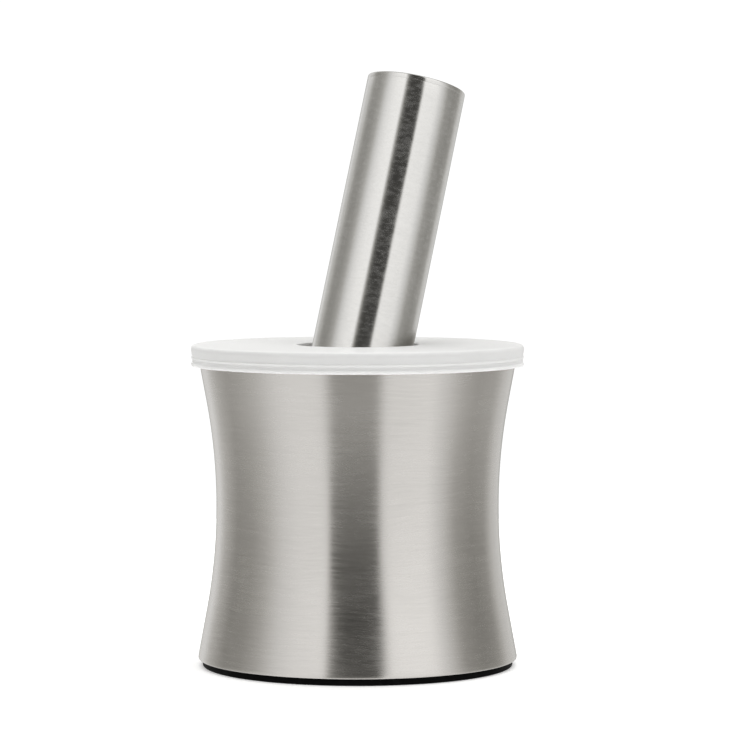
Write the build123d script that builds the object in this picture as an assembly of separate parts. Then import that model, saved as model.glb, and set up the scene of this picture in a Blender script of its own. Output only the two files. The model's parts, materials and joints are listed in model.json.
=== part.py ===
from build123d import *

import os
from math import asin, cos, degrees, radians, sin, sqrt, tan

# Stainless steel grinding cup with its muddling pestle and splash lid.
#
# The cup is double walled. A waisted outer shell stands on a rubber foot, and a deep-drawn bowl
# hangs inside it, hemmed over the shell's top edge. The load of each blow goes from the bowl's
# round floor through a turned support into the base pan, the foot and the table.
# The soft plastic lid presses on over the hemmed rim, and the pestle leans in the hole at its
# centre.
#
# Frame: millimetres, +Z up. The origin is the centre of the foot's lower face, on the cup's axis.
# At rest the pestle leans towards +X and +Y, and its round end lies in the bowl.

# Driving dimensions -------------------------------------------------------------------------------

CUP_HEIGHT = 95.6            # table to the top of the hemmed rim
FOOT_STAND = 2.0             # how far the foot holds the shell off the table
FIT = 0.1                    # clearance between nested pieces
RUNNING = 0.3                # clearance between pieces that move against each other

SHELL_SHEET = 0.8
SHELL_EDGE = 0.5             # rounding of the shell's lower edge
SHELL_TURN_IN = 4.2          # width of the flange turned in under the shell
WAIST_RADIUS = 42.46
WAIST_HEIGHT = 48.5
WAIST_CURVE = 170.0          # radius of the waist's hollow curve, seen from the side
WAIST_HALF_HEIGHT = 31.0     # above and below this the wall is a straight cone

BOWL_SHEET = 1.0
BOWL_FLOOR = 11.0            # height of the bowl's lowest point, inside
BOWL_MOUTH_RADIUS = 45.6
BOWL_WALL_ANGLE = 10.0
BOWL_BEND = 1.6              # bend from the wall to the rim
HEM_RADIUS = 49.0            # outside of the hem
HEM_DEPTH = 3.2
HEM_BEND = 0.8

PAN_SHEET = 0.8
PAN_WALL = 4.5               # height of the base pan's upstand
SUPPORT_RADIUS = 18.0

FOOT_RADIUS = 46.7
FOOT_EDGE = 0.4
FOOT_PLUG_RADIUS = 43.4
FOOT_PLUG_HEIGHT = 0.5
FOOT_ARCH_RADIUS = 33.0      # inside this the foot doesn't touch the table
FOOT_ARCH = 0.6
FOOT_GROOVE = 0.8            # width of each grip groove in the foot's ring
FOOT_GROOVE_RADII = (36.0, 39.0, 42.0)
ADHESIVE_MARGIN = 0.4        # how much smaller the adhesive disc is than the foot's plug

LID_RADIUS = 50.0
LID_SHEET = 1.0
LID_HEIGHT = 6.3             # skirt's edge to the lid's top
LID_CORNER = 1.3
LID_HOLE_RADIUS = 18.2
LID_HOLE_EDGE = 0.5
LID_BEAD = 1.6               # width of the bead that stiffens the hole
LID_BEAD_DEPTH = 0.8         # how far the bead stands down from the lid's underside
LID_BEAD_EDGE = 0.3
LID_LAND = 1.6               # upright stretch of the skirt under the lid's top
LID_DRAFT = 0.3              # how far the skirt draws in below it, down to the ridge
LID_RIDGE_INSET = 0.1        # the ridge stands this much inside the lid's radius
LID_RIDGE_HEIGHT = 2.9       # the ridge's upper end, above the skirt's edge
LID_RIDGE_DEPTH = 0.6
LID_BAND_INSET = 0.35        # the band between ridge and lip
LID_LIP_HEIGHT = 1.1         # where the lip starts to flare, above the skirt's edge
LID_LIP_FLARE = 0.65         # height over which it flares out to the lid's radius
LID_LIP_EDGE = 0.2
LID_SEAL_DEPTH = 2.6         # ring under the lid that seats in the bowl's mouth
LID_SEAL_SHEET = 0.7

PESTLE_RADIUS = 15.0
PESTLE_LENGTH = 162.0
PESTLE_SHEET = 1.2
PESTLE_TILT = 15.75          # from upright
PESTLE_LEAN = 42.6           # direction of the lean, from +X towards +Y
HEAD_COLLAR = 3.0            # straight part of the head, above its round end
HEAD_SPIGOT = 14.0
HEAD_SPIGOT_CHAMFER = 1.0
CAP_SHEET = 1.5
CAP_SPIGOT = 3.5
CAP_EDGE = 0.7               # rounding of the cap's edge

# Worked-out sizes ---------------------------------------------------------------------------------

SHELL_FOOT = FOOT_STAND
SHELL_TOP = CUP_HEIGHT - BOWL_SHEET
CONE_ANGLE = asin(WAIST_HALF_HEIGHT / WAIST_CURVE)
CONE_START = WAIST_RADIUS + WAIST_CURVE * (1 - cos(CONE_ANGLE))

WALL = radians(BOWL_WALL_ANGLE)
BOWL_DEPTH = CUP_HEIGHT - BOWL_FLOOR
BOWL_RADIUS = (BOWL_MOUTH_RADIUS * cos(WALL) - BOWL_DEPTH * sin(WALL)) / (1 - sin(WALL))
BOWL_CENTRE = BOWL_FLOOR + BOWL_RADIUS

PAN_FLOOR = SHELL_FOOT + SHELL_SHEET
PAN_TOP = PAN_FLOOR + PAN_SHEET

LID_SEAT = CUP_HEIGHT + FIT
LID_TOP = LID_SEAT + LID_SHEET
LID_FOOT = LID_TOP - LID_HEIGHT

SPIGOT_RADIUS = PESTLE_RADIUS - PESTLE_SHEET - FIT / 2
TILT = radians(PESTLE_TILT)
LEAN = radians(PESTLE_LEAN)


def shell_radius(height, inset=0.0):
    """Radius of the shell's outer face, or of a face that lies inset within it, at a height."""
    rise = abs(height - WAIST_HEIGHT)
    curve = WAIST_CURVE + inset
    if rise <= curve * sin(CONE_ANGLE):
        return WAIST_RADIUS + WAIST_CURVE - sqrt(curve**2 - rise**2)
    cone_rise = rise - WAIST_HALF_HEIGHT
    return CONE_START + cone_rise * tan(CONE_ANGLE) - inset / cos(CONE_ANGLE)


def bowl_radius(height):
    """Radius of the bowl's inner face on its straight wall, at a height."""
    return BOWL_MOUTH_RADIUS - (CUP_HEIGHT - height) * tan(WALL)


def on_sphere(radius, angle):
    """Point of a half section, on a sphere about the bowl's centre, at an angle from straight down."""
    return (radius * sin(angle), BOWL_CENTRE - radius * cos(angle))


def outline(*edges):
    """A face bounded by edges that follow each other round."""
    return make_face(Curve() + list(edges))


def turned(section):
    """The solid that a half section in the XZ plane sweeps about the cup's axis."""
    return revolve(Plane.XZ * section, Axis.Z)


def circles(solid, radius, height):
    """The solid's round edges of a radius at a height."""
    return solid.edges().filter_by(GeomType.CIRCLE).filter_by(
        lambda edge: abs(edge.radius - radius) < 0.01 and abs(edge.center().Z - height) < 0.01
    )


# Cup ----------------------------------------------------------------------------------------------


def waisted_edges(inset, low, high):
    """The shell's side from low to high: cone, hollow curve and cone, on a face inset within it."""
    curve = WAIST_CURVE + inset
    centre = WAIST_RADIUS + WAIST_CURVE
    arc_radius = centre - curve * cos(CONE_ANGLE)
    arc_rise = curve * sin(CONE_ANGLE)
    arc_low = (arc_radius, WAIST_HEIGHT - arc_rise)
    arc_high = (arc_radius, WAIST_HEIGHT + arc_rise)
    return [
        Line((shell_radius(low, inset), low), arc_low),
        ThreePointArc(arc_low, (centre - curve, WAIST_HEIGHT), arc_high),
        Line(arc_high, (shell_radius(high, inset), high)),
    ]


def outer_shell():
    """Waisted sleeve of thin sheet, its lower edge turned in to carry the base pan."""
    flange_top = SHELL_FOOT + SHELL_SHEET
    outside = shell_radius(SHELL_FOOT)
    lip = outside - SHELL_TURN_IN
    outer = waisted_edges(0.0, SHELL_FOOT, SHELL_TOP)
    inner = waisted_edges(SHELL_SHEET, flange_top, SHELL_TOP)
    top_edge = Line(
        (shell_radius(SHELL_TOP), SHELL_TOP),
        (shell_radius(SHELL_TOP, SHELL_SHEET), SHELL_TOP),
    )
    turn_in = Polyline(
        (outside, SHELL_FOOT),
        (lip, SHELL_FOOT),
        (lip, flange_top),
        (shell_radius(flange_top, SHELL_SHEET), flange_top),
    )
    shell = turned(outline(*outer, top_edge, *inner, turn_in))
    return fillet(circles(shell, outside, SHELL_FOOT), SHELL_EDGE)


def inner_bowl():
    """Deep-drawn bowl: round floor, conical wall, and a rim hemmed down over the shell's edge."""
    outside = BOWL_RADIUS + BOWL_SHEET
    round_end = radians(90) - WALL
    seam = CUP_HEIGHT - BOWL_SHEET
    seam_radius = bowl_radius(seam) + BOWL_SHEET / cos(WALL)
    hem_inside = shell_radius(SHELL_TOP) + FIT / 2
    hem_foot = CUP_HEIGHT - HEM_DEPTH
    section = outline(
        ThreePointArc(
            on_sphere(BOWL_RADIUS, 0),
            on_sphere(BOWL_RADIUS, round_end / 2),
            on_sphere(BOWL_RADIUS, round_end),
        ),
        Polyline(
            on_sphere(BOWL_RADIUS, round_end),
            (BOWL_MOUTH_RADIUS, CUP_HEIGHT),
            (HEM_RADIUS, CUP_HEIGHT),
            (HEM_RADIUS, hem_foot),
            (hem_inside, hem_foot),
            (hem_inside, seam),
            (seam_radius, seam),
            on_sphere(outside, round_end),
        ),
        ThreePointArc(
            on_sphere(outside, round_end),
            on_sphere(outside, round_end / 2),
            on_sphere(outside, 0),
        ),
        Line(on_sphere(outside, 0), on_sphere(BOWL_RADIUS, 0)),
    )
    bowl = turned(section)
    bowl = fillet(circles(bowl, BOWL_MOUTH_RADIUS, CUP_HEIGHT), BOWL_BEND)
    return fillet(circles(bowl, HEM_RADIUS, CUP_HEIGHT), HEM_BEND)


def base_pan():
    """Shallow pressed pan that closes the shell's foot, its upstand welded to the shell."""
    pan_rim = PAN_FLOOR + PAN_WALL
    outside = SHELL_SHEET + FIT
    inside = outside + PAN_SHEET
    section = outline(
        Polyline(
            (0, PAN_FLOOR),
            (shell_radius(PAN_FLOOR, outside), PAN_FLOOR),
            (shell_radius(pan_rim, outside), pan_rim),
            (shell_radius(pan_rim, inside), pan_rim),
            (shell_radius(PAN_TOP, inside), PAN_TOP),
            (0, PAN_TOP),
            (0, PAN_FLOOR),
        )
    )
    return turned(section)


def bowl_support():
    """Turned block between bowl and pan, dished on top to the bowl's underside."""
    seat = BOWL_RADIUS + BOWL_SHEET + FIT
    dish_end = asin(SUPPORT_RADIUS / seat)
    section = outline(
        Polyline(
            on_sphere(seat, 0),
            (0, PAN_TOP),
            (SUPPORT_RADIUS, PAN_TOP),
            on_sphere(seat, dish_end),
        ),
        ThreePointArc(
            on_sphere(seat, dish_end),
            on_sphere(seat, dish_end / 2),
            on_sphere(seat, 0),
        ),
    )
    return turned(section)


def foot_adhesive():
    """Thin double-sided disc that holds the foot under the base pan."""
    low = FOOT_STAND + FOOT_PLUG_HEIGHT
    return Pos(0, 0, low) * extrude(Circle(FOOT_PLUG_RADIUS - ADHESIVE_MARGIN), PAN_FLOOR - low)


def foot_pad():
    """Moulded rubber foot: a ring that stands on the table, arched inside, with grip grooves."""
    foot = extrude(Circle(FOOT_RADIUS), FOOT_STAND)
    plug = Pos(0, 0, FOOT_STAND) * extrude(Circle(FOOT_PLUG_RADIUS), FOOT_PLUG_HEIGHT)
    arch = extrude(Circle(FOOT_ARCH_RADIUS), FOOT_ARCH)
    pad = foot + plug - arch
    for radius in FOOT_GROOVE_RADII:
        ring = Circle(radius + FOOT_GROOVE / 2) - Circle(radius - FOOT_GROOVE / 2)
        pad -= extrude(ring, FOOT_GROOVE / 2)
    outer_edges = circles(pad, FOOT_RADIUS, 0) + circles(pad, FOOT_RADIUS, FOOT_STAND)
    return fillet(outer_edges, FOOT_EDGE)


# Lid ----------------------------------------------------------------------------------------------


def lid():
    """Soft press-on lid: flat top, skirt with a ridge and a flared lip, seal ring, beaded hole."""
    bead = LID_HOLE_RADIUS + LID_BEAD
    bead_foot = LID_SEAT - LID_BEAD_DEPTH
    skirt_inside = HEM_RADIUS + FIT
    drawn_in = LID_RADIUS - LID_DRAFT
    ridge = LID_RADIUS - LID_RIDGE_INSET
    ridge_top = LID_FOOT + LID_RIDGE_HEIGHT
    ridge_low = ridge_top - LID_RIDGE_DEPTH
    band = LID_RADIUS - LID_BAND_INSET
    lip = LID_FOOT + LID_LIP_HEIGHT
    seal_foot = LID_SEAT - LID_SEAL_DEPTH
    seal_outside = bowl_radius(seal_foot) - FIT
    seal_inside = seal_outside - LID_SEAL_SHEET
    section = outline(
        Polyline(
            (LID_HOLE_RADIUS, bead_foot),
            (LID_HOLE_RADIUS, LID_TOP),
            (LID_RADIUS, LID_TOP),
            (LID_RADIUS, LID_TOP - LID_LAND),
            (drawn_in, ridge_top),
            (ridge, ridge_top - (ridge - drawn_in)),
            (ridge, ridge_low),
            (band, ridge_low - (ridge - band)),
            (band, lip),
            (LID_RADIUS, lip - LID_LIP_FLARE),
            (ridge, LID_FOOT),
            (skirt_inside, LID_FOOT),
            (skirt_inside, LID_SEAT),
            (seal_outside, LID_SEAT),
            (seal_outside, seal_foot),
            (seal_inside, seal_foot),
            (seal_inside, LID_SEAT),
            (bead, LID_SEAT),
            (bead, bead_foot),
            (LID_HOLE_RADIUS, bead_foot),
        )
    )
    body = turned(section)
    body = fillet(circles(body, LID_RADIUS, LID_TOP), LID_CORNER)
    body = fillet(circles(body, LID_HOLE_RADIUS, LID_TOP), LID_HOLE_EDGE)
    bead_edges = circles(body, LID_HOLE_RADIUS, bead_foot) + circles(body, bead, bead_foot)
    body = fillet(bead_edges, LID_BEAD_EDGE)
    return fillet(circles(body, ridge, LID_FOOT), LID_LIP_EDGE)


# Pestle -------------------------------------------------------------------------------------------
# The pestle's pieces are made upright, with the lowest point of the round end at the origin.


def pestle_head():
    """Solid grinding head: a round end, a collar as wide as the tube, and a spigot inside it."""
    collar_top = PESTLE_RADIUS + HEAD_COLLAR
    spigot_top = collar_top + HEAD_SPIGOT
    eighth = radians(45)
    dome_middle = (PESTLE_RADIUS * sin(eighth), PESTLE_RADIUS * (1 - cos(eighth)))
    section = outline(
        ThreePointArc((0, 0), dome_middle, (PESTLE_RADIUS, PESTLE_RADIUS)),
        Polyline(
            (PESTLE_RADIUS, PESTLE_RADIUS),
            (PESTLE_RADIUS, collar_top),
            (SPIGOT_RADIUS, collar_top),
            (SPIGOT_RADIUS, spigot_top - HEAD_SPIGOT_CHAMFER),
            (SPIGOT_RADIUS - HEAD_SPIGOT_CHAMFER, spigot_top),
            (0, spigot_top),
            (0, 0),
        ),
    )
    return turned(section)


def pestle_tube():
    """Brushed tube that is the pestle's handle."""
    low = PESTLE_RADIUS + HEAD_COLLAR
    ring = Circle(PESTLE_RADIUS) - Circle(PESTLE_RADIUS - PESTLE_SHEET)
    return Pos(0, 0, low) * extrude(ring, PESTLE_LENGTH - CAP_SHEET - low)


def pestle_cap():
    """End plate of the handle, with a ring beneath it that centres it in the tube."""
    low = PESTLE_LENGTH - CAP_SHEET
    plate = Pos(0, 0, low) * extrude(Circle(PESTLE_RADIUS), CAP_SHEET)
    ring = Circle(SPIGOT_RADIUS) - Circle(SPIGOT_RADIUS - CAP_SHEET)
    cap = plate + Pos(0, 0, low - CAP_SPIGOT) * extrude(ring, CAP_SPIGOT)
    return fillet(circles(cap, PESTLE_RADIUS, PESTLE_LENGTH), CAP_EDGE)


def pestle_rest():
    """Where the pestle's lower end rests, in the plane of its lean: distance out, and height.

    The shaft lies RUNNING clear of the lean side of the hole, at the lid's top. The round end's
    centre is on its sphere about the bowl's centre, RUNNING clear of the bowl.
    """
    offset = LID_HOLE_RADIUS - RUNNING - PESTLE_RADIUS / cos(TILT)
    height = LID_TOP - BOWL_CENTRE
    reach = BOWL_RADIUS - PESTLE_RADIUS - RUNNING
    along = offset * sin(TILT) + height * cos(TILT)
    to_head_centre = along + sqrt(along**2 - offset**2 - height**2 + reach**2)
    to_end = to_head_centre + PESTLE_RADIUS
    return offset - to_end * sin(TILT), LID_TOP - to_end * cos(TILT)


def leaning(piece):
    """A pestle piece moved from upright to where the pestle rests."""
    out, up = pestle_rest()
    place = Pos(out * cos(LEAN), out * sin(LEAN), up)
    return place * Rot(0, 0, PESTLE_LEAN) * Rot(0, PESTLE_TILT, 0) * piece


# Files --------------------------------------------------------------------------------------------


def main():
    pieces = {
        "outer_shell": outer_shell(),
        "inner_bowl": inner_bowl(),
        "base_pan": base_pan(),
        "bowl_support": bowl_support(),
        "foot_adhesive": foot_adhesive(),
        "foot_pad": foot_pad(),
        "lid": lid(),
        "pestle_head": leaning(pestle_head()),
        "pestle_tube": leaning(pestle_tube()),
        "pestle_cap": leaning(pestle_cap()),
    }
    os.makedirs("parts", exist_ok=True)
    for name, piece in pieces.items():
        export_step(piece, f"parts/{name}.step")

    out, up = pestle_rest()
    axis = Vector(sin(TILT) * cos(LEAN), sin(TILT) * sin(LEAN), cos(TILT))
    end = Vector(out * cos(LEAN), out * sin(LEAN), up)
    print("bowl sphere radius", round(BOWL_RADIUS, 3), "centre height", round(BOWL_CENTRE, 3))
    print("cone angle", round(degrees(CONE_ANGLE), 3), "foot radius", round(shell_radius(SHELL_FOOT), 3))
    print("pestle axis", axis, "lower end", end, "upper end", end + axis * PESTLE_LENGTH)


main()
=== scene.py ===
# %% [markdown]
# # A steel mortar and pestle with its lid
#
# The real thing is three loose objects: a double-walled steel mortar on a rubber foot, a soft
# plastic lid with a hole in it, and a tube pestle that leans in the hole. The packed model holds
# every piece at its true size and place. This script gives each piece its finished surface, and
# sets up the table, the studio and the camera.
#
# The frame is the packed model's: +Z up, with the origin on the table at the mortar's axis.
# Blender works in metres. Sections are written in millimetres, as on a workshop drawing, and are
# turned into metres where the mesh is made.

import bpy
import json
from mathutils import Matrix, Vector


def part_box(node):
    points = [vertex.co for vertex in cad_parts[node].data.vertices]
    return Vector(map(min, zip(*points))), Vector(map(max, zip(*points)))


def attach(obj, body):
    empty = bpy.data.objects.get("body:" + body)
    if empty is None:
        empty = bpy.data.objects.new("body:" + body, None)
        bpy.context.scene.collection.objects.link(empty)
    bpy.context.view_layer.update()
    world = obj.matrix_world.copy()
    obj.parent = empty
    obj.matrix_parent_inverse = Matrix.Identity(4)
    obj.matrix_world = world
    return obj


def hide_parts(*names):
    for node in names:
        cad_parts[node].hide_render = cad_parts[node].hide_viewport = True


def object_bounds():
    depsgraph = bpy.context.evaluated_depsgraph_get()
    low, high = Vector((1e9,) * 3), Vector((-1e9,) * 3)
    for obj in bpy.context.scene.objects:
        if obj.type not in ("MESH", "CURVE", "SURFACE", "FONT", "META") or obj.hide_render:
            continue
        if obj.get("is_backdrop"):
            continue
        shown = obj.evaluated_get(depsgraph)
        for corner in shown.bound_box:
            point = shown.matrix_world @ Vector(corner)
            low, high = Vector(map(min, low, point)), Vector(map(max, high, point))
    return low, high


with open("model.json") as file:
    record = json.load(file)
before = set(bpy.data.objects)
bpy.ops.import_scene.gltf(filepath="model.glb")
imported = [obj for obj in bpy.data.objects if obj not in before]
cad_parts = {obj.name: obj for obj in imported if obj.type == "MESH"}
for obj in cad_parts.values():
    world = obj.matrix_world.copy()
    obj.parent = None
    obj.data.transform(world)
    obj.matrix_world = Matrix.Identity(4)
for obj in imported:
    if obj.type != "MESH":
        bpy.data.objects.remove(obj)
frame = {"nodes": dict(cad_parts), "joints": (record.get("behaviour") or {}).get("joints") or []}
cad_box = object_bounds()
print("packed model from", [round(v, 4) for v in cad_box[0]], "to", [round(v, 4) for v in cad_box[1]])

# %% Names used all through
import json
import operator
from math import acos, asin, atan2, ceil, cos, degrees, hypot, pi, radians, sin, tan

import bmesh
import bpy
from mathutils import Matrix, Vector

MM = 0.001


def clear_default_objects():
    """Removes what a new Blender file holds, so that only this scene is rendered."""
    for name in ("Cube", "Light", "Camera"):
        thing = bpy.data.objects.get(name)
        if thing is not None:
            bpy.data.objects.remove(thing)


clear_default_objects()
print("nodes in the packed model:", ", ".join(sorted(frame["nodes"])))

# %% [markdown]
# ## Node trees written as sums
#
# A finish is mostly arithmetic: a streak here, less of it there, a little added to the roughness.
# Wiring that by hand takes three lines for each sum, and hides the sum. So a socket is wrapped in a
# small class that knows +, -, * and /, and each of them adds the Math node that does it. Every
# other node comes from one method, which takes the node's type, its settings, and what goes into
# its sockets. The same two classes serve the materials, the studio and Geometry Nodes.

# %% Sockets that add up
class Number:
    """A socket that carries a value, and can be used in a sum."""

    def __init__(self, tree, socket):
        self.tree = tree
        self.socket = socket

    def math(self, operation, *others):
        values = dict(enumerate((self, *others)))
        return self.tree.node("ShaderNodeMath", {"operation": operation}, values)

    def __add__(self, other):
        return self.math("ADD", other)

    def __sub__(self, other):
        return self.math("SUBTRACT", other)

    def __mul__(self, other):
        return self.math("MULTIPLY", other)

    def __truediv__(self, other):
        return self.math("DIVIDE", other)

    def __neg__(self):
        return self.math("MULTIPLY", -1.0)

    def __abs__(self):
        return self.math("ABSOLUTE")

    def __rsub__(self, other):
        return -self + other

    __radd__ = __add__
    __rmul__ = __mul__


class Tree:
    """A node tree that is being built."""

    def __init__(self, node_tree):
        self.nodes = node_tree.nodes
        self.links = node_tree.links
        self.nodes.clear()

    def node(self, kind, settings=None, sockets=None, output=0):
        """Adds a node, with its settings and with values or links by socket name or place."""
        made = self.nodes.new(kind)
        for name, value in (settings or {}).items():
            if name == "stops":
                self.set_stops(made.color_ramp, value)
            else:
                setattr(made, name, value)
        for key, value in (sockets or {}).items():
            socket = self.find(made.inputs, key)
            if isinstance(value, Number):
                self.links.new(value.socket, socket)
            else:
                socket.default_value = value
        return Number(self, self.find(made.outputs, output)) if made.outputs else made

    @staticmethod
    def find(sockets, key):
        if isinstance(key, int):
            return sockets[key]
        by_identifier = [s for s in sockets if s.identifier == key]
        by_name = [s for s in sockets if s.name == key]
        return (by_identifier or by_name)[0]

    @staticmethod
    def set_stops(ramp, stops):
        while len(ramp.elements) < len(stops):
            ramp.elements.new(1.0)
        for element, (place, level) in zip(ramp.elements, stops):
            element.position = place
            element.color = (level, level, level, 1.0)

    def object_place(self):
        """Where a point lies on its own piece, in metres."""
        return self.node("ShaderNodeTexCoord", {}, {}, "Object")

    def part(self, vector, axis):
        """One coordinate of a vector."""
        return self.node("ShaderNodeSeparateXYZ", {}, {0: vector}, axis)

    def stretched(self, place, scale):
        """A vector scaled by a different amount along each axis."""
        return self.node("ShaderNodeVectorMath", {"operation": "MULTIPLY"}, {0: place, 1: scale})

    def moved(self, place, shift):
        """A vector with another one added."""
        return self.node("ShaderNodeVectorMath", {"operation": "ADD"}, {0: place, 1: shift})

    def noise(self, place, scale=1.0, detail=2.0, roughness=0.5):
        """Noise between 0 and 1."""
        sockets = {"Vector": place, "Scale": scale, "Detail": detail, "Roughness": roughness}
        return self.node("ShaderNodeTexNoise", {}, sockets, "Fac")

    def levels(self, value, *stops):
        """A number turned into another by straight lines between stops."""
        return self.node("ShaderNodeValToRGB", {"stops": stops}, {"Fac": value})

    def mix_colour(self, factor, first, second):
        sockets = {"Factor_Float": factor, "A_Color": (*first, 1.0), "B_Color": (*second, 1.0)}
        return self.node("ShaderNodeMix", {"data_type": "RGBA"}, sockets, "Result_Color")

    def mix_onto(self, factor, first, second):
        """Like mix_colour, but onto a colour that another node makes."""
        sockets = {"Factor_Float": factor, "A_Color": first, "B_Color": (*second, 1.0)}
        return self.node("ShaderNodeMix", {"data_type": "RGBA"}, sockets, "Result_Color")

    def bump(self, height, strength, distance):
        """A normal that leans as if the surface had this height."""
        sockets = {"Strength": strength, "Distance": distance, "Height": height}
        return self.node("ShaderNodeBump", {}, sockets)


def new_material(name):
    """An empty material that remembers which packed finish it stands for, and its tree."""
    material = bpy.data.materials.new(name)
    material["slot"] = name
    material.use_nodes = True
    return material, Tree(material.node_tree)


def finish_with(tree, sockets):
    """Ends a material's tree in one Principled surface, and says how large the tree became."""
    surface = tree.node("ShaderNodeBsdfPrincipled", {}, sockets)
    tree.node("ShaderNodeOutputMaterial", {}, {"Surface": surface})
    print("  a finish of", len(tree.nodes), "nodes")


signs = [name.strip("_") for name in vars(Number) if name.strip("_") in dir(operator)]
print("a socket can be used with:", ", ".join(signs))

# %% [markdown]
# ## Where the pestle leans
#
# The pestle isn't upright, so its pieces are made upright and then laid where it leans. The pull
# joint's axis is the pestle's own axis. The head's lower half is a hemisphere that faces down and
# away from the lean, so its box's lowest corner is one radius from the ball's centre along each
# axis. That gives the pestle's place from the packed model. It could be typed in as two angles
# and a position, but then they would have to be kept in step by hand.

# %% The pestle's place
PESTLE_RADIUS = 15 * MM
PESTLE_LENGTH = 162 * MM

pull = next(joint for joint in frame["joints"] if joint["name"] == "pestle_pull")
pestle_axis = Vector(pull["axis"]).normalized()
ball_centre = Vector(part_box("pestle_head")[0]) + Vector((PESTLE_RADIUS,) * 3)
pestle_end = ball_centre - pestle_axis * PESTLE_RADIUS
lean = Matrix.Translation(pestle_end) @ pestle_axis.to_track_quat("Z", "Y").to_matrix().to_4x4()
print("the round end stands at", [round(v / MM, 2) for v in pestle_end], "mm")
print("the pestle leans", round(degrees(acos(pestle_axis.z)), 2), "degrees from upright")

# %% [markdown]
# ## Turned pieces
#
# Everything here is round, as it comes off a spinning lathe, a press or a round mould. So each
# piece is drawn as a half section: a few corners in millimetres, each with its own rounding, which
# is then turned about the axis. No edge of a real piece is quite sharp, and a rounding of a few
# tenths is what catches the thin line of light along it. A Screw modifier could turn the section
# and a Bevel modifier round it, but a bevel has one width for all corners, and faces that are made
# here come with their map, closed poles and nothing to merge.
#
# Long straight stretches are divided, so that the smooth shading of a rounded edge doesn't leak
# over a flat face. The piece also gets a UV map, once round in U and along the section in V. The
# metal finish reads from it which way the piece was brushed.

# %% Sections with rounded corners
DEGREES_PER_STEP = 12


def rounded_corner(before, point, after, rounding):
    """Points on the arc that rounds a corner between its two neighbours."""
    back = (before - point).normalized()
    on = (after - point).normalized()
    half = back.angle(on) / 2
    centre = point + (back + on).normalized() * rounding / sin(half)
    start = point + back * rounding / tan(half) - centre
    end = point + on * rounding / tan(half) - centre
    turn = start.angle_signed(end)
    steps = max(3, ceil(abs(turn) / radians(DEGREES_PER_STEP)))
    return [centre + Matrix.Rotation(-turn * k / steps, 2) @ start for k in range(steps + 1)]


def divided(path, longest, closed):
    """The path with points added, so that no stretch is longer than the longest."""
    ends = path[1:] + path[:1] if closed else path[1:]
    points = []
    for start, end in zip(path, ends):
        parts = max(1, ceil((end - start).length / longest))
        points += [start.lerp(end, k / parts) for k in range(parts)]
    return points if closed else points + [path[-1]]


def rounded_section(corners, step, closed):
    """Points along a section, in metres, from corners (radius, height) or (radius, height, rounding)."""
    points = [Vector(corner[:2]) * MM for corner in corners]
    path = []
    for i, corner in enumerate(corners):
        if len(corner) == 2:
            path.append(points[i])
        else:
            after = points[(i + 1) % len(points)]
            path += rounded_corner(points[i - 1], points[i], after, corner[2] * MM)
    return divided(path, step * MM, closed)


def ball_arc(radius, centre, turn, steps):
    """Section points on a sphere, from straight down through an angle."""
    angles = [turn * k / steps for k in range(steps + 1)]
    return [(radius * sin(a), centre - radius * cos(a)) for a in angles]


sample = rounded_corner(Vector((1, 0)), Vector((0, 0)), Vector((0, 1)), 0.1)
print("a square corner is rounded in", len(sample), "points")

# %% Turning a section into a piece
ON_AXIS = 1e-7
SHARP = radians(40)


def ring_of(shape, point, segments):
    """A section's point, all the way round. On the axis it is one vertex."""
    if point.x < ON_AXIS:
        return [shape.verts.new((0, 0, point.y))] * segments
    turns = [2 * pi * k / segments for k in range(segments)]
    return [shape.verts.new((point.x * cos(a), point.x * sin(a), point.y)) for a in turns]


def add_face(shape, uv, corners):
    """A face from (vertex, u, v) corners. A corner that falls on another one is left out."""
    used = []
    for corner in corners:
        if all(corner[0] is not other[0] for other in used):
            used.append(corner)
    face = shape.faces.new([vert for vert, _, _ in used])
    face.smooth = True
    for loop, (_, u, v) in zip(face.loops, used):
        loop[uv].uv = (u, v)


def turned_mesh(name, path, segments, closed, place):
    """A section swept round the axis, with its UV map and its normals outward."""
    shape = bmesh.new()
    uv = shape.loops.layers.uv.new("UVMap")
    rings = [ring_of(shape, point, segments) for point in path]
    along = 0.0
    for i in range(len(path) if closed else len(path) - 1):
        low, high = rings[i], rings[(i + 1) % len(rings)]
        start, along = along, along + (path[(i + 1) % len(path)] - path[i]).length
        if low[0] is low[1] and high[0] is high[1]:
            continue
        for k in range(segments):
            n = (k + 1) % segments
            left, right = k / segments, (k + 1) / segments
            lower = [(low[k], left, start), (low[n], right, start)]
            add_face(shape, uv, lower + [(high[n], right, along), (high[k], left, along)])
    bmesh.ops.recalc_face_normals(shape, faces=shape.faces)
    if shape.calc_volume(signed=True) < 0:
        bmesh.ops.reverse_faces(shape, faces=shape.faces)
    shape.transform(place)
    mesh = bpy.data.meshes.new(name)
    shape.to_mesh(mesh)
    shape.free()
    mesh.set_sharp_from_angle(angle=SHARP)
    return mesh


def hand_over(piece, body, nodes, material):
    """Gives a piece its finish and its body, and lets it stand for its packed nodes."""
    piece.data.materials.clear()
    piece.data.materials.append(material)
    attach(piece, body)
    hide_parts(*nodes)
    print(piece.name, "rides on", body, "with", len(piece.data.polygons), "faces")


def turned(name, corners, body, node, material, step=1.5, segments=256, closed=True, place=Matrix()):
    """A round piece from its section, finished and handed over."""
    path = rounded_section(corners, step, closed)
    piece = bpy.data.objects.new(name, turned_mesh(name, path, segments, closed, place))
    bpy.context.scene.collection.objects.link(piece)
    hand_over(piece, body, [node], material)
    return piece


print("edges that turn by more than", round(degrees(SHARP)), "degrees are shaded as sharp")

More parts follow.
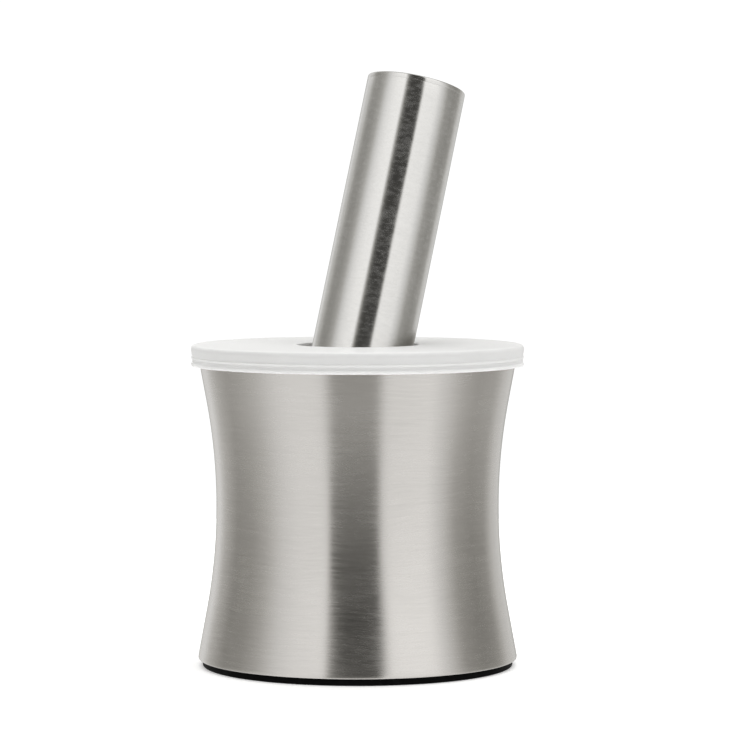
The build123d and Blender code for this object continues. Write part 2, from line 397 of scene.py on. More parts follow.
# %% [markdown]
# ## Brushed steel
#
# The mortar and the tube were spun against an abrasive belt, which leaves fine scratches round
# them. Scratches spread a reflection across themselves and hardly along, so a lamp beside the
# mortar becomes a tall band with crisp sides. Anisotropy does that, with the UV map's U as the
# direction of the scratches.
#
# The belt doesn't cut evenly. Streaked noise, long round the axis and short along it, varies the
# colour and the roughness a little: fine lines, longer lines, and slow clouds where the belt
# pressed harder. On the shell the scratches also wander off level, because it was held by hand.
# Tiny pits that the belt skipped scatter light instead of reflecting it, and they show only where
# the steel reflects something dark, so they are a small fall in how metallic the surface is.
#
# An image of scratches could be wrapped round the metal, but it would repeat and show its seam,
# and noise does neither. The tube came off a finer belt, so it is smoother and shows less grain.
# The bowl is satin from the press, and the head shows the fine rings of the lathe.

# %% The brushed finish
SWAY_LENGTH = 30 * MM
FINE_SHARE = 0.65
LONGER = 5
WIDER = 3
CLOUDS_PER_METRE = 60
CLOUD_SHARE = 0.4
SPECKS_PER_METRE = (400, 400, 900)
DARKER = 0.14
LIGHTER = 0.11
FINE_RUB = 0.14
LONG_RUB = 0.2
CLOUD_RUB = 0.14


def brushed_steel(
    name, tone, roughness, spread, place=None,
    line=0.28, length=5.0, sway=0.0, contrast=1.0, rub=1.0, pits=0.0,
):
    """Steel brushed round an axis.

    Place is the matrix that stands the axis up on Z. Line and length are a scratch's width and
    length, and sway is how far scratches wander off level, in millimetres. Contrast is how much
    they vary the colour, rub the roughness, and pits how dark the pits are.
    """
    material, tree = new_material(name)
    spot = tree.object_place()
    if place is not None:
        turn = {"Location": place.to_translation(), "Rotation": place.to_euler()}
        spot = tree.node("ShaderNodeMapping", {"vector_type": "TEXTURE"}, {"Vector": spot, **turn})
    around, along = 1 / (length * MM), 1 / (line * MM)
    rise = (tree.noise(spot, 1 / SWAY_LENGTH, 1.0) - 0.5) * (sway * MM)
    swayed = tree.moved(spot, tree.node("ShaderNodeCombineXYZ", {}, {"Z": rise}))
    fine = tree.noise(tree.stretched(swayed, (around, around, along)), 1.0, 3.0, 0.65)
    stretch = (around / LONGER, around / LONGER, along / WIDER)
    long_lines = tree.noise(tree.stretched(swayed, stretch), 1.0, 2.0, 0.6)
    cloud = tree.noise(spot, CLOUDS_PER_METRE, 3.0, 0.55)
    specks = tree.noise(tree.stretched(spot, SPECKS_PER_METRE), 1.0, 1.0, 0.5)
    lines = fine * FINE_SHARE + long_lines * (1 - FINE_SHARE)

    shade = tree.levels(lines + (cloud - 0.5) * CLOUD_SHARE, (0.25, 0.0), (0.75, 1.0))
    dark = [channel * (1 - DARKER * contrast) for channel in tone]
    light = [min(1.0, channel * (1 + LIGHTER * contrast)) for channel in tone]
    rubbed = (fine - 0.5) * FINE_RUB + (long_lines - 0.5) * (LONG_RUB * rub)
    pitted = tree.levels(specks, (0.4, 0.0), (0.65, 1.0)) * pits
    finish_with(
        tree,
        {
            "Base Color": tree.mix_colour(shade, dark, light),
            "Metallic": 1.0 - pitted,
            "Roughness": rubbed + (cloud - 0.5) * CLOUD_RUB + roughness,
            "Anisotropic": spread,
            "Anisotropic Rotation": 0.25,
            "Tangent": tree.node("ShaderNodeTangent", {"direction_type": "UV_MAP", "uv_map": "UVMap"}),
            "Normal": tree.bump(lines, 0.08, 0.006 * MM),
        },
    )
    return material


SHELL_TONE = (0.643, 0.622, 0.594)
TUBE_TONE = (0.7, 0.691, 0.67)
BOWL_TONE = (0.66, 0.65, 0.63)
HEAD_TONE = (0.6, 0.59, 0.57)

shell_steel = brushed_steel(
    "brushed_shell", SHELL_TONE, 0.25, 0.9,
    line=0.45, length=8.0, sway=5.0, contrast=0.5, rub=0.4, pits=0.02,
)
tube_steel = brushed_steel(
    "brushed_tube", TUBE_TONE, 0.17, 0.85, place=lean,
    line=0.5, length=4.0, contrast=0.35, rub=0.5, pits=0.08,
)
bowl_steel = brushed_steel("satin_bowl", BOWL_TONE, 0.34, 0.5, line=0.8, length=40.0, contrast=0.6)
head_steel = brushed_steel("turned_head", HEAD_TONE, 0.38, 0.4, place=lean, line=0.25, contrast=1.2)
print("steels:", shell_steel.name, tube_steel.name, bowl_steel.name, head_steel.name)

# %% [markdown]
# ## Milky plastic
#
# The lid is moulded in a soft, translucent plastic, the kind used for food tubs. Light goes a
# millimetre or so into it before it comes out again, so it glows softly and has no hard shadows.
# The plastic is a little grey, and the skirt's wall is thin. At the lip, at the ridge and round the hole
# the colour is painted nearly pure white, as painted highlights where these edges catch the light, and
# the corner and the flat top are painted a little whiter, as painted light from above. That is written
# as whiteness by height on the skirt, and by distance from the axis on the bead. Faint flow marks from the
# mould vary the rest.
#
# True scattering inside the plastic could be traced as a volume, but in a sheet this thin it only
# brings noise. Subsurface scattering, with a little light let through, looks the same.

# %% The plastic
LID_HEIGHT = 6.3
BEAD_SPAN = 100 * MM
THIN_SHADOW = (0.785, 0.785, 0.78)
THIN_LIGHT = (0.825, 0.825, 0.82)
# The white of the painted highlights on the lid. Below is where they are painted: by height on the skirt, at
# the lip, the ridge, the corner and the flat top, and by distance from the axis round the hole.
PAINTED_HIGHLIGHT_WHITE = (0.99, 0.99, 0.985)
SKIRT_PAINTED_HIGHLIGHTS = (
    (0.14, 1.0), (0.19, 0.0),              # the lip
    (0.34, 0.0), (0.38, 0.5), (0.44, 0.5), (0.5, 0.0),   # the ridge
    (0.94, 0.0), (0.99, 0.4),              # the corner
)
BEAD_PAINTED_HIGHLIGHT = ((0.19, 0.8), (0.205, 0.0))


def milky_plastic():
    """Soft translucent lid plastic: milky inside, with a satin skin, faint flow marks and painted highlights
    on its edges and top.
    """
    material, tree = new_material("milky_plastic")
    spot = tree.object_place()
    flow = tree.noise(tree.stretched(spot, (60.0, 60.0, 25.0)), 1.0, 3.0, 0.55)
    grain = tree.noise(spot, 1800.0, 2.0, 0.5)
    height = tree.part(spot, "Z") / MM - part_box("lid")[0][2] / MM
    flat = tree.stretched(spot, (1, 1, 0))
    from_axis = tree.node("ShaderNodeVectorMath", {"operation": "LENGTH"}, {0: flat}, "Value")
    skirt_highlights = tree.levels(height / LID_HEIGHT, *SKIRT_PAINTED_HIGHLIGHTS)
    bead_highlight = tree.levels(from_axis / BEAD_SPAN, *BEAD_PAINTED_HIGHLIGHT)
    thin = tree.mix_colour(flow, THIN_SHADOW, THIN_LIGHT)
    finish_with(
        tree,
        {
            # Base colour: the grey plastic, with the painted highlights mixed in.
            "Base Color": tree.mix_onto(skirt_highlights.math("MAXIMUM", bead_highlight), thin, PAINTED_HIGHLIGHT_WHITE),
            "Roughness": 0.42 + (flow - 0.5) * 0.12,
            "IOR": 1.46,
            "Specular IOR Level": 0.1,
            "Transmission Weight": 0.12,
            "Subsurface Weight": 0.5,
            "Subsurface Radius": (1.0, 1.0, 1.0),
            "Subsurface Scale": 1.2 * MM,
            "Normal": tree.bump(grain * 0.5 + flow, 0.15, 0.03 * MM),
        },
    )
    return material


lid_plastic = milky_plastic()
print("plastic:", lid_plastic.name)

# %% [markdown]
# ## Black rubber
#
# The foot is moulded in a soft black rubber that keeps the mortar from sliding under the blows.
# Rubber has almost no shine. In one plain black it would look like a slot and not like a thing, so
# a fine grain from the mould breaks up what shine is left, and a trace of dust lies on it.

# %% The rubber
RUBBER = (0.002, 0.002, 0.002)
DUSTY_RUBBER = (0.007, 0.007, 0.007)


def black_rubber():
    """Matt moulded rubber, a little dusty."""
    material, tree = new_material("black_rubber")
    spot = tree.object_place()
    grain = tree.noise(spot, 2600.0, 2.0, 0.6)
    dust = tree.levels(tree.noise(spot, 220.0, 3.0, 0.6), (0.5, 0.0), (0.8, 1.0))
    finish_with(
        tree,
        {
            "Base Color": tree.mix_colour(dust, RUBBER, DUSTY_RUBBER),
            "Roughness": 0.62 + (grain - 0.5) * 0.2,
            "Specular IOR Level": 0.05,
            "Normal": tree.bump(grain, 0.4, 0.05 * MM),
        },
    )
    return material


foot_rubber = black_rubber()
print("rubber:", foot_rubber.name)

# %% [markdown]
# ## What the closed mortar hides
#
# The base pan and the support are plain mill-finished steel, and the foot is stuck on with a
# cloudy adhesive disc. Nobody sees them once the mortar is put together. They could be modelled
# again with rounded edges, but their packed meshes already have the true shape, so they only get
# their finishes, with the grain that rolled sheet has.

# %% Hidden pieces
def mill_steel():
    """Sheet steel as it left the rolling mill, with the grain along X."""
    material, tree = new_material("inner_steel")
    rolled = tree.noise(tree.stretched(tree.object_place(), (30.0, 900.0, 900.0)), 1.0, 3.0, 0.6)
    colour = tree.mix_colour(rolled, (0.42, 0.42, 0.41), (0.56, 0.555, 0.54))
    finish_with(tree, {"Base Color": colour, "Metallic": 1.0, "Roughness": 0.4 + rolled * 0.15})
    return material


def adhesive_film():
    """Cloudy double-sided adhesive."""
    material, tree = new_material("adhesive")
    cloud = tree.noise(tree.object_place(), 150.0, 4.0, 0.6)
    colour = tree.mix_colour(cloud, (0.72, 0.70, 0.64), (0.86, 0.85, 0.80))
    finish_with(tree, {"Base Color": colour, "Roughness": 0.7 + cloud * 0.1})
    return material


hidden_steel = mill_steel()
hidden_finishes = {
    "base_pan": hidden_steel,
    "bowl_support": hidden_steel,
    "foot_adhesive": adhesive_film(),
}
for node, material in hidden_finishes.items():
    for slot in frame["nodes"][node].material_slots:
        slot.material = material
    print(node, "keeps its packed mesh, in", material.name)

# %% [markdown]
# ## The waisted shell, from its rule
#
# The outer shell is a sheet-metal sleeve that was spun in at the waist. Its side follows a simple
# rule: a hollow arc around the waist, and a straight cone above and below it. Its lower edge is
# turned in to carry the base pan.
#
# Geometry Nodes follow that rule for a flat grid. The grid's X becomes the angle round the axis,
# and its Y the way along the sheet: up the wall, and before that inward along the turned-in edge.
# The bend between the two is a smooth curve, and the grid is finer close to it. Thickness comes
# last: the sheet is pushed inward along its normals, and joined to itself turned over.
#
# A turned section could make the shell as well. The rule was chosen because its sizes stay named
# inputs, so that a slimmer waist or a taller shell is a number and not a new drawing.

# %% A tree that bends a grid into the shell
WAIST_RADIUS = 42.46
WAIST_HEIGHT = 48.5
WAIST_CURVE = 170.0
WAIST_HALF_HEIGHT = 31.0
SHELL_SHEET = 0.8
SHELL_TURN_IN = 4.2
SHELL_EDGE = 0.5
MERGED = 0.001

SIZES = ("Waist Radius", "Waist Height", "Curve", "Half Height", "Foot", "Top", "Sheet", "Turn In", "Edge")
COUNTS = ("Segments", "Rows")


def shell_group():
    """An empty Geometry Nodes group with the shell's named inputs."""
    group = bpy.data.node_groups.new("waisted_shell", "GeometryNodeTree")
    kinds = {name: "NodeSocketFloat" for name in SIZES} | {name: "NodeSocketInt" for name in COUNTS}
    for name, kind in (kinds | {"Finish": "NodeSocketMaterial"}).items():
        group.interface.new_socket(name, in_out="INPUT", socket_type=kind)
    group.interface.new_socket("Geometry", in_out="OUTPUT", socket_type="NodeSocketGeometry")
    return group


def section_of_shell(size, up):
    """Radius and height of the sheet's outer face, as up goes from the turned-in edge to the top."""
    wall = size["Top"] - size["Foot"]
    start = -(size["Turn In"] / wall).math("SQRT")
    way = start + up * (1 - start)
    distance = way * abs(way) * wall
    soft = (distance * distance + size["Edge"] * size["Edge"]).math("SQRT")
    height = size["Foot"] + (distance + soft) * 0.5
    inward = (soft - distance) * 0.5

    rise = abs(height - size["Waist Height"])
    curved = rise.math("MINIMUM", size["Half Height"])
    square = size["Curve"] * size["Curve"]
    hollow = size["Curve"] - (square - curved * curved).math("SQRT")
    slope = size["Half Height"] / (square - size["Half Height"] * size["Half Height"]).math("SQRT")
    cone = (rise - size["Half Height"]).math("MAXIMUM", 0.0) * slope
    return size["Waist Radius"] + hollow + cone - inward, height


def merged(tree, geometry):
    sockets = {"Geometry": geometry, "Distance": MERGED * MM}
    return tree.node("GeometryNodeMergeByDistance", {}, sockets)


def shell_tree():
    """Geometry Nodes that make the shell from its named sizes."""
    group = shell_group()
    tree = Tree(group)
    given = group.nodes.new("NodeGroupInput")
    size = {name: Number(tree, given.outputs[name]) for name in (*SIZES, *COUNTS, "Finish")}

    counts = {"Vertices X": size["Segments"] + 1, "Vertices Y": size["Rows"] + 1}
    grid = tree.node("GeometryNodeMeshGrid", {}, {"Size X": 1.0, "Size Y": 1.0, **counts}, "Mesh")
    uv = Number(tree, Tree.find(grid.socket.node.outputs, "UV Map"))
    stored = {"data_type": "FLOAT2", "domain": "CORNER"}
    named = {"Geometry": grid, "Name": "UVMap", "Value": uv}
    mapped = tree.node("GeometryNodeStoreNamedAttribute", stored, named)

    place = tree.node("GeometryNodeInputPosition")
    angle = (tree.part(place, "X") + 0.5) * (2 * pi)
    radius, height = section_of_shell(size, tree.part(place, "Y") + 0.5)
    round_place = {"X": radius * angle.math("COSINE"), "Y": radius * angle.math("SINE"), "Z": height}
    bent = tree.node("ShaderNodeCombineXYZ", {}, round_place)
    wound = tree.node("GeometryNodeSetPosition", {}, {"Geometry": mapped, "Position": bent})

    closed = merged(tree, wound)
    inward = {"Mesh": closed, "Offset Scale": -size["Sheet"], "Individual": False}
    inner = tree.node("GeometryNodeExtrudeMesh", {}, inward)
    flipped = tree.node("GeometryNodeFlipFaces", {}, {"Mesh": inner})
    both = group.nodes.new("GeometryNodeJoinGeometry")
    tree.links.new(flipped.socket, both.inputs[0])
    tree.links.new(closed.socket, both.inputs[0])
    sheet = merged(tree, Number(tree, both.outputs[0]))
    smooth = tree.node("GeometryNodeSetShadeSmooth", {}, {"Geometry": sheet})
    real = tree.node("GeometryNodeRealizeInstances", {}, {"Geometry": smooth})
    finished = tree.node("GeometryNodeSetMaterial", {}, {"Geometry": real, "Material": size["Finish"]})
    tree.node("NodeGroupOutput", {}, {"Geometry": finished})
    return group


def grown(name, group, values):
    """A plain mesh object from a Geometry Nodes tree and the values of its named inputs."""
    seed = bpy.data.objects.new(name, bpy.data.meshes.new(name + "_seed"))
    bpy.context.scene.collection.objects.link(seed)
    modifier = seed.modifiers.new("shape", "NODES")
    modifier.node_group = group
    for item in group.interface.items_tree:
        if item.item_type == "SOCKET" and item.in_out == "INPUT":
            modifier[item.identifier] = values[item.name]
    evaluated = seed.evaluated_get(bpy.context.evaluated_depsgraph_get())
    mesh = bpy.data.meshes.new_from_object(evaluated)
    mesh.name = name
    seed.modifiers.remove(modifier)
    seed.data = mesh
    return seed


shell_rule = shell_tree()
print("the shell's rule takes", len(shell_rule.nodes), "nodes")

# %% The shell
shell_low, shell_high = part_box("outer_shell")
shell_values = {
    "Waist Radius": WAIST_RADIUS * MM,
    "Waist Height": WAIST_HEIGHT * MM,
    "Curve": WAIST_CURVE * MM,
    "Half Height": WAIST_HALF_HEIGHT * MM,
    "Foot": shell_low[2],
    "Top": shell_high[2],
    "Sheet": SHELL_SHEET * MM,
    "Turn In": SHELL_TURN_IN * MM,
    "Edge": SHELL_EDGE * MM,
    "Segments": 288,
    "Rows": 110,
    "Finish": shell_steel,
}
shell = grown("shell", shell_rule, shell_values)
shell.data.set_sharp_from_angle(angle=SHARP)
hand_over(shell, "mortar", ["outer_shell"], shell_steel)
widest = max(hypot(v.co.x, v.co.y) for v in shell.data.vertices)
print("the shell's widest radius:", round(widest / MM, 2), "mm; packed:", round(shell_high[0] / MM, 2), "mm")

# %% [markdown]
# ## The bowl and its hem
#
# The bowl is deep-drawn from one disc of sheet: a round floor, a wall that opens by ten degrees,
# and a rim that is bent over the shell's top edge and hemmed down outside it. Only the hem would
# show if the lid were lifted, and the inside once the pestle is out. The wall meets the round
# floor without a kink, which fixes the floor's radius from the mouth, the depth and the wall's
# angle. The section is an open one, from the axis to the axis, and its two arcs share a centre: that
# is simpler and truer than a thin bowl given its thickness by a modifier, which would also thicken
# the hem.

# %% The bowl
BOWL_DEPTH = 84.6
BOWL_MOUTH = 45.6
BOWL_SHEET = 1.0
BOWL_BEND = 1.6
WALL_ANGLE = radians(10)
HEM_DEPTH = 3.2
HEM_BEND = 0.8
FIT = 0.1
ARC_STEPS = 36

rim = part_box("inner_bowl")[1][2] / MM
hem_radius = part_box("inner_bowl")[1][0] / MM
floor_radius = (BOWL_MOUTH * cos(WALL_ANGLE) - BOWL_DEPTH * sin(WALL_ANGLE)) / (1 - sin(WALL_ANGLE))
floor_centre = rim - BOWL_DEPTH + floor_radius
round_end = pi / 2 - WALL_ANGLE

cone_angle = asin(WAIST_HALF_HEIGHT / WAIST_CURVE)
cone_start = WAIST_RADIUS + WAIST_CURVE * (1 - cos(cone_angle))
cone_rise = shell_high[2] / MM - WAIST_HEIGHT - WAIST_HALF_HEIGHT
hem_inside = cone_start + cone_rise * tan(cone_angle) + FIT / 2

seam = rim - BOWL_SHEET
seam_radius = BOWL_MOUTH - BOWL_SHEET * tan(WALL_ANGLE) + BOWL_SHEET / cos(WALL_ANGLE)
bowl_section = [
    *ball_arc(floor_radius, floor_centre, round_end, ARC_STEPS),
    (BOWL_MOUTH, rim, BOWL_BEND),
    (hem_radius, rim, HEM_BEND),
    (hem_radius, rim - HEM_DEPTH, 0.2),
    (hem_inside, rim - HEM_DEPTH),
    (hem_inside, seam),
    (seam_radius, seam),
    *reversed(ball_arc(floor_radius + BOWL_SHEET, floor_centre, round_end, ARC_STEPS)),
]
turned("bowl", bowl_section, "mortar", "inner_bowl", bowl_steel, step=2.5, closed=False)
print("the bowl's round floor:", round(floor_radius, 2), "mm; the hem's inside:", round(hem_inside, 2), "mm")

# %% [markdown]
# ## The foot
#
# A moulded rubber ring stands on the table. Inside it the foot is arched, so that a crumb under
# the middle can't make the mortar rock, and three grooves in the ring let it bite on a wet table.
# A low plug on top fits inside the shell's turned-in edge. Only the ring's rounded edge shows from
# the side, as the thin black line under the steel. The grooves could be cut out of a disc, but in
# a section they are four more corners each, and their edges stay clean.

# %% The foot
FOOT_STAND = 2.0
FOOT_EDGE = 0.4
ARCH_RADIUS = 33.0
ARCH_HEIGHT = 0.6
GROOVE_RADII = (36.0, 39.0, 42.0)
GROOVE_HALF_WIDTH = 0.4
GROOVE_DEPTH = 0.4
PLUG_RADIUS = 43.4
PLUG_TOP = FOOT_STAND + 0.5


def groove(radius):
    """Section corners of one grip groove in the foot's underside."""
    inside, outside = radius - GROOVE_HALF_WIDTH, radius + GROOVE_HALF_WIDTH
    return [(inside, 0, 0.1), (inside, GROOVE_DEPTH), (outside, GROOVE_DEPTH), (outside, 0, 0.1)]


foot_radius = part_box("foot_pad")[1][0] / MM
foot_section = [
    (0, ARCH_HEIGHT),
    (ARCH_RADIUS, ARCH_HEIGHT, 0.15),
    (ARCH_RADIUS, 0, 0.2),
    *[corner for radius in GROOVE_RADII for corner in groove(radius)],
    (foot_radius, 0, FOOT_EDGE),
    (foot_radius, FOOT_STAND, FOOT_EDGE),
    (PLUG_RADIUS, FOOT_STAND),
    (PLUG_RADIUS, PLUG_TOP, 0.15),
    (0, PLUG_TOP),
]
turned("foot", foot_section, "mortar", "foot_pad", foot_rubber, step=3.0, closed=False)
print("the foot stands on a ring from", ARCH_RADIUS, "to", round(foot_radius, 2), "mm")

# %% [markdown]
# ## The lid
#
# The lid is one moulding. Its flat top has a rounded corner, a soft edge round the hole, and a
# bead below the hole that keeps it from tearing. The skirt goes over the hem: an upright land
# under the corner, a slight draft inward so that it leaves the mould, a thin ridge, a band, and a
# lip that flares out so that fingers can lift it. Under the top a ring seats in the bowl's mouth
# and keeps juice in. So fine a profile is all in its corners, and each has the rounding that its
# place in the mould would give it.
#
# The lid isn't seen in the steel. The real lid is soft and pale in front of a pale studio, and a
# reflection of it would only blur the foot of the dark band on the pestle.

# %% The lid
LID_SHEET = 1.0
LID_CORNER = 1.3
HOLE = 18.2
HOLE_EDGE = 0.5
BEAD = HOLE + 1.6
BEAD_DEPTH = 0.8
LAND = 1.6
DRAFT = 0.3
RIDGE_INSET = 0.1
RIDGE_HEIGHT = 2.9
RIDGE_DEPTH = 0.6
BAND_INSET = 0.35
LIP_HEIGHT = 1.1
LIP_FLARE = 0.65
SEAL_DEPTH = 2.6
SEAL_SHEET = 0.7

lid_low, lid_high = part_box("lid")
lid_radius = lid_high[0] / MM
lid_top = lid_high[2] / MM
lid_foot = lid_low[2] / MM
lid_seat = lid_top - LID_SHEET
bead_foot = lid_seat - BEAD_DEPTH
skirt_inside = hem_radius + FIT
ridge = lid_radius - RIDGE_INSET
ridge_top = lid_foot + RIDGE_HEIGHT
ridge_low = ridge_top - RIDGE_DEPTH
band = lid_radius - BAND_INSET
lip_top = lid_foot + LIP_HEIGHT
seal_foot = lid_seat - SEAL_DEPTH
seal_outside = BOWL_MOUTH - (rim - seal_foot) * tan(WALL_ANGLE) - FIT
seal_inside = seal_outside - SEAL_SHEET

hole_and_top = [
    (HOLE, bead_foot, 0.3),
    (HOLE, lid_top, HOLE_EDGE),
    (lid_radius, lid_top, LID_CORNER),
]
skirt_outside = [
    (lid_radius, lid_top - LAND, 1.0),
    (lid_radius - DRAFT, ridge_top, 0.06),
    (ridge, ridge_top - (DRAFT - RIDGE_INSET), 0.06),
    (ridge, ridge_low, 0.06),
    (band, ridge_low - (BAND_INSET - RIDGE_INSET), 0.1),
    (band, lip_top, 0.08),
    (lid_radius, lip_top - LIP_FLARE, 0.1),
    (ridge, lid_foot, 0.2),
]
underside = [
    (skirt_inside, lid_foot, 0.2),
    (skirt_inside, lid_seat),
    (seal_outside, lid_seat, 0.1),
    (seal_outside, seal_foot, 0.2),
    (seal_inside, seal_foot, 0.2),
    (seal_inside, lid_seat, 0.1),
    (BEAD, lid_seat, 0.3),
    (BEAD, bead_foot, 0.3),
]
lid_section = hole_and_top + skirt_outside + underside
lid_cover = turned("lid_cover", lid_section, "lid", "lid", lid_plastic, step=1.2, segments=288)
lid_cover.visible_glossy = False
print("the lid is", round(2 * lid_radius, 2), "mm across and", round(lid_top - lid_foot, 2), "mm deep")

# %% [markdown]
# ## The pestle
#
# The pestle is a length of tube. A solid head, turned with a round end that fits the bowl's floor,
# is pressed into the lower end by its spigot. A thin plate with a ring beneath closes the top. The
# joints are ground flush before brushing, so they show only as hairlines. One long piece with two
# grooves would look the same, but these come apart as the real ones do. All three are drawn
# upright from the lowest point of the round end, and laid where the pestle leans.

# %% The pestle's three pieces
HEAD_COLLAR = 3.0
HEAD_SPIGOT = 14.0
TUBE_SHEET = 1.2
SPIGOT_GAP = 0.05
CAP_SHEET = 1.5
CAP_SPIGOT = 3.5
CAP_EDGE = 0.35
HAIRLINE = 0.03

shaft = PESTLE_RADIUS / MM
top_end = PESTLE_LENGTH / MM
tube_low = shaft + HEAD_COLLAR
tube_top = top_end - CAP_SHEET
spigot = shaft - TUBE_SHEET - SPIGOT_GAP

head_section = [
    *ball_arc(shaft, shaft, pi / 2, 30),
    (shaft, tube_low),
    (spigot, tube_low),
    (spigot, tube_low + HEAD_SPIGOT, 1.0),
    (0, tube_low + HEAD_SPIGOT),
]
tube_section = [
    (shaft, tube_low, HAIRLINE),
    (shaft, tube_top, HAIRLINE),
    (shaft - TUBE_SHEET, tube_top),
    (shaft - TUBE_SHEET, tube_low),
]
cap_section = [
    (0, top_end),
    (shaft, top_end, CAP_EDGE),
    (shaft, tube_top, HAIRLINE),
    (spigot, tube_top),
    (spigot, tube_top - CAP_SPIGOT),
    (spigot - CAP_SHEET, tube_top - CAP_SPIGOT),
    (spigot - CAP_SHEET, tube_top),
    (0, tube_top),
]
leaning = {"segments": 192, "place": lean}
turned("grinding_head", head_section, "pestle", "pestle_head", head_steel, closed=False, **leaning)
turned("handle_tube", tube_section, "pestle", "pestle_tube", tube_steel, step=4.0, **leaning)
turned("handle_cap", cap_section, "pestle", "pestle_cap", tube_steel, closed=False, **leaning)
print("the tube runs from", tube_low, "to", tube_top, "mm above the round end's lowest point")

# %% [markdown]
# ## The table
#
# A pale, matt disc to stand on. Light that a big white sweep would return from all sides is
# missing on a small disc, so it glows by itself a little. The steel doesn't see it: the curved
# walls of the mortar would gather its near edge into a ring that the real studio doesn't have.

# %% The table
TABLE_RADIUS = 0.45
TABLE_TONE = (0.95, 0.95, 0.95, 1.0)
TABLE_GLOW = 0.3


def pale_table():
    """A pale, softly glowing disc, part of the stage and not of the model."""
    material, tree = new_material("pale_table")
    glow = {"Emission Color": (1.0, 1.0, 1.0, 1.0), "Emission Strength": TABLE_GLOW}
    finish_with(tree, {"Base Color": TABLE_TONE, "Roughness": 0.8, **glow})
    shape = bmesh.new()
    bmesh.ops.create_circle(shape, cap_ends=True, segments=96, radius=TABLE_RADIUS)
    mesh = bpy.data.meshes.new("table")
    shape.to_mesh(mesh)
    shape.free()
    mesh.materials.append(material)
    table = bpy.data.objects.new("table", mesh)
    bpy.context.scene.collection.objects.link(table)
    table.visible_glossy = False
    table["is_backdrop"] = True


pale_table()
print("the table is", 2 * TABLE_RADIUS, "m across")

# %% [markdown]
# ## The studio
#
# Polished round things show the whole room. What makes this steel look as it does is a ring of
# tall white lamps with dark gaps between them: a narrow gap behind the camera gives the dark band
# down the middle, and a wider one at each side gives the soft dark sides. Real lamps could be set
# up all round, but each would need its own stand, and their light would be grainy in the brushed
# steel. So the surroundings are written as brightness by angle round the object: 0 is behind the
# camera, and angles grow to the right. They are given at three heights. The pestle looks up into
# them, the mortar's waist looks level, and its upper half looks down.
#
# Two slow changes go over that: haze, a pale floor that fills in the gaps for what looks down, and
# lift, which brightens the lamps towards their tops. The dim parts are a little warmer than the
# lamps, as a room's walls are. The camera itself sees plain white behind everything.

# %% What surrounds the steel
LAMPS_LEVEL = (
    (-180, 0.25), (-172, 0.25), (-165, 0.66), (-150, 0.84), (-134, 0.5), (-114, 0.24), (-94, 0.3),
    (-78, 0.5), (-62, 0.82), (-48, 0.96), (-24, 1.02), (-20, 0.045), (16, 0.045), (19.5, 1.04),
    (58, 1.05), (72, 0.74), (86, 0.34), (106, 0.23), (124, 0.29), (140, 0.64), (160, 0.68),
    (172, 0.25), (180, 0.25),
)
LAMPS_BELOW = (
    (-180, 0.25), (-172, 0.25), (-165, 0.7), (-150, 0.84), (-134, 0.48), (-114, 0.29), (-87, 0.56),
    (-70, 0.93), (-55, 1.09), (-36, 1.08), (-29, 0.98), (-17, 0.06), (13, 0.06), (24, 0.98),
    (59, 1.15), (75, 0.77), (86, 0.54), (104, 0.24), (116, 0.4), (140, 0.6), (160, 0.68),
    (172, 0.25), (180, 0.25),
)
LAMPS_ABOVE = (
    (-180, 0.25), (-165, 0.68), (-147, 0.87), (-134, 0.79), (-124, 0.46), (-113, 0.32), (-98, 0.31),
    (-83, 0.41), (-70, 0.67), (-61, 0.81), (-44, 0.94), (-24.5, 1.0), (-20.5, 0.45), (-15.5, 0.13),
    (-9, 0.06), (0, 0.05), (20.5, 0.06), (24.5, 1.05), (58, 1.12), (86, 0.35), (106, 0.21),
    (124, 0.24), (140, 0.53), (180, 0.25),
)
HAZE = ((-90, 0.9), (-45, 0.74), (-28, 0.51), (-6, 0.17), (10, 0.0))
LIFT = ((0, 1.0), (13, 1.04), (30, 1.26))
HAZE_LEVEL = 0.9
OVERHEAD = 0.6
UNDERFOOT = 0.5
BACKDROP = 1.05
WARM = (1.0, 0.985, 0.93)
WHITE = (1.0, 1.0, 1.0)


def studio():
    """Surroundings as the steel sees them, and plain white for the camera."""
    world = bpy.data.worlds.new("studio")
    world.use_nodes = True
    bpy.context.scene.world = world
    tree = Tree(world.node_tree)
    direction = tree.node("ShaderNodeTexCoord", {}, {}, "Generated")
    x, y, z = (tree.part(direction, axis) for axis in "XYZ")
    turn = x.math("ARCTAN2", -y) / (2 * pi) + 0.5
    upness = 0.5 + z * 0.5

    def around(stops):
        return tree.levels(turn, *[((angle + 180) / 360, level) for angle, level in stops])

    def by_rise(stops, scale=1.0):
        places = [(sin(radians(rise)) + 1) / 2 for rise, _ in stops]
        return tree.levels(upness, *[(at, level * scale) for at, (_, level) in zip(places, stops)])

    level_lamps = around(LAMPS_LEVEL)
    below = tree.levels(-z, (0.17, 0.0), (0.38, 1.0)) * (around(LAMPS_BELOW) - level_lamps)
    above = tree.levels(z, (0.15, 0.0), (0.27, 1.0)) * (around(LAMPS_ABOVE) - level_lamps)
    haze = by_rise(HAZE)
    lamps = (level_lamps + below + above) * by_rise(LIFT, 0.5) * 2 * (1 - haze) + haze * HAZE_LEVEL
    overhead = tree.levels(z, (0.75, 0.0), (0.95, 1.0))
    underfoot = tree.levels(-z, (0.8, 0.0), (0.95, 1.0))
    strength = lamps * (1 - overhead) + overhead * OVERHEAD + underfoot * UNDERFOOT
    eye = tree.node("ShaderNodeLightPath", {}, {}, "Is Camera Ray")
    strength = strength * (1 - eye) + eye * BACKDROP
    tint = tree.mix_colour(tree.levels(strength, (0.3, 0.0), (0.85, 1.0)), WARM, WHITE)
    background = tree.node("ShaderNodeBackground", {}, {"Color": tint, "Strength": strength})
    tree.node("ShaderNodeOutputWorld", {}, {"Surface": background})
    return tree


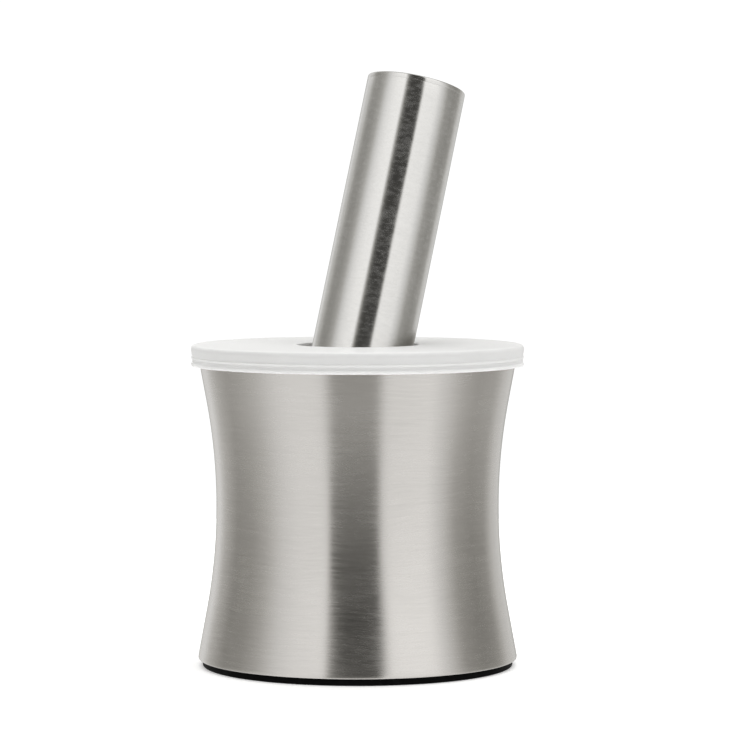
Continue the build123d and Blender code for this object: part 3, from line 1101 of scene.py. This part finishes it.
studio_tree = studio()
bpy.context.scene.view_settings.view_transform = "Standard"
print("the studio takes", len(studio_tree.nodes), "nodes")

# %% [markdown]
# ## A soft light for what isn't polished
#
# The lid and the table are lit from a large, soft disc high above and a little behind. From there
# it fills the lid's top evenly, and only grazes the rounded front edge. The steel doesn't reflect
# it, since its reflections are already set by the surroundings.

# %% The soft light
def soft_lamp(name, size, power, place):
    """A large disc that shines down, seen neither by the camera nor in the steel."""
    light = bpy.data.lights.new(name, "AREA")
    light.shape = "DISK"
    light.size = size
    light.energy = power
    lamp = bpy.data.objects.new(name, light)
    bpy.context.scene.collection.objects.link(lamp)
    lamp.location = place
    lamp.visible_glossy = False
    lamp.visible_camera = False
    print(name, "shines with", power, "W from", place)


soft_lamp("soft_ceiling", 2.4, 35.0, (0.25, 0.6, 2.0))

# %% [markdown]
# ## The camera
#
# The camera stands a little over a metre away and looks down by a few degrees, with a long lens,
# so that the mortar's rims are flat ellipses and its sides hardly converge. A shorter lens closer
# by would show as much, but it would make the lid bulge. It stands slightly to the right of
# the mortar's axis, which leaves room for the leaning pestle.

# %% The camera
CAMERA_DISTANCE = 1.1
CAMERA_ELEVATION = radians(7.8)
CAMERA_ASIDE = 5.25 * MM
AIM_HEIGHT = 87.4 * MM
LENS = 176
SENSOR = 36


def place_camera():
    """A level camera that looks along +Y, turned down to its aim."""
    camera_data = bpy.data.cameras.new("camera")
    camera_data.lens = LENS
    camera_data.sensor_width = SENSOR
    camera_data.clip_end = 20
    camera = bpy.data.objects.new("camera", camera_data)
    bpy.context.scene.collection.objects.link(camera)
    height = shell_low[2] + CAMERA_DISTANCE * tan(CAMERA_ELEVATION)
    camera.location = (CAMERA_ASIDE, -CAMERA_DISTANCE, height)
    down = atan2(height - AIM_HEIGHT, CAMERA_DISTANCE)
    camera.rotation_euler = (pi / 2 - down, 0, 0)
    bpy.context.scene.camera = camera
    print("the camera is", round(height, 4), "m up and looks down by", round(degrees(down), 2), "degrees")


place_camera()

# %% [markdown]
# ## Sizes, for comparison
#
# The finished surfaces are meant to keep the packed model's overall box, apart from what rounding an
# edge takes away. Both boxes are measured here, and how far they differ is printed.

# %% Sizes
seen_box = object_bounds()
apart = max(abs(a - b) for cad, seen in zip(cad_box, seen_box) for a, b in zip(cad, seen))
print("the two boxes differ by at most", round(apart / MM, 3), "mm")
